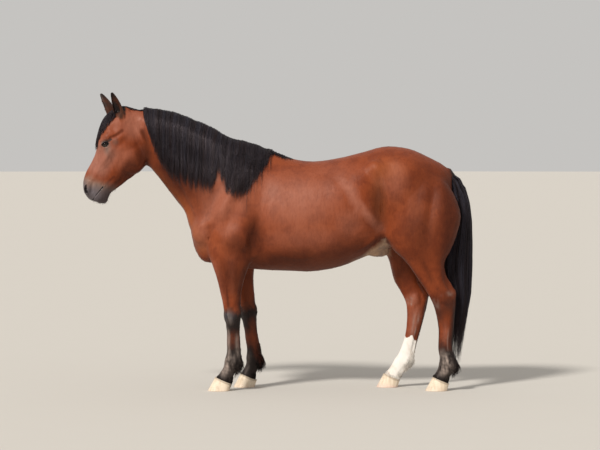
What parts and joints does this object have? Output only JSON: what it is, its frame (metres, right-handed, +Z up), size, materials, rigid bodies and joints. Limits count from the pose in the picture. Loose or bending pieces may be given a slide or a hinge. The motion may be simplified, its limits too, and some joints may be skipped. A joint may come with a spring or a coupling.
{
  "type": "horse",
  "caption": "Life-size still model of a bay horse standing square, with black mane, forelock and long tail, and one white hind stocking.",
  "frame": {"origin": "on the floor, under the middle of the whole model's box", "axes": "+Z up, the horse faces -X, its left side is -Y; the whole length from nose to tail lies along X"},
  "size_m": [2.3646, 0.5548, 1.8035],
  "materials": {
    "coat": "short glossy bay hair, black on the lower legs, one white stocking",
    "dark_skin": "short dark hair on the ears",
    "mane_hair": "long black hair with a soft blue-grey sheen",
    "horn": "pale hoof horn, fine rings, dusty",
    "eye": "wet dark brown"
  },
  "bodies": {
    "root": {"trunk": "coat", "neck": "coat", "head": "coat", "foreleg_left": "coat", "foreleg_right": "coat", "hindleg_left": "coat", "hindleg_right": "coat", "ear_left": "dark_skin", "ear_right": "dark_skin", "mane": "mane_hair", "forelock": "mane_hair", "tail": "mane_hair", "hoof_fore_left": "horn", "hoof_fore_right": "horn", "hoof_hind_left": "horn", "hoof_hind_right": "horn", "eye_left": "eye", "eye_right": "eye"}
  },
  "joints": []
}
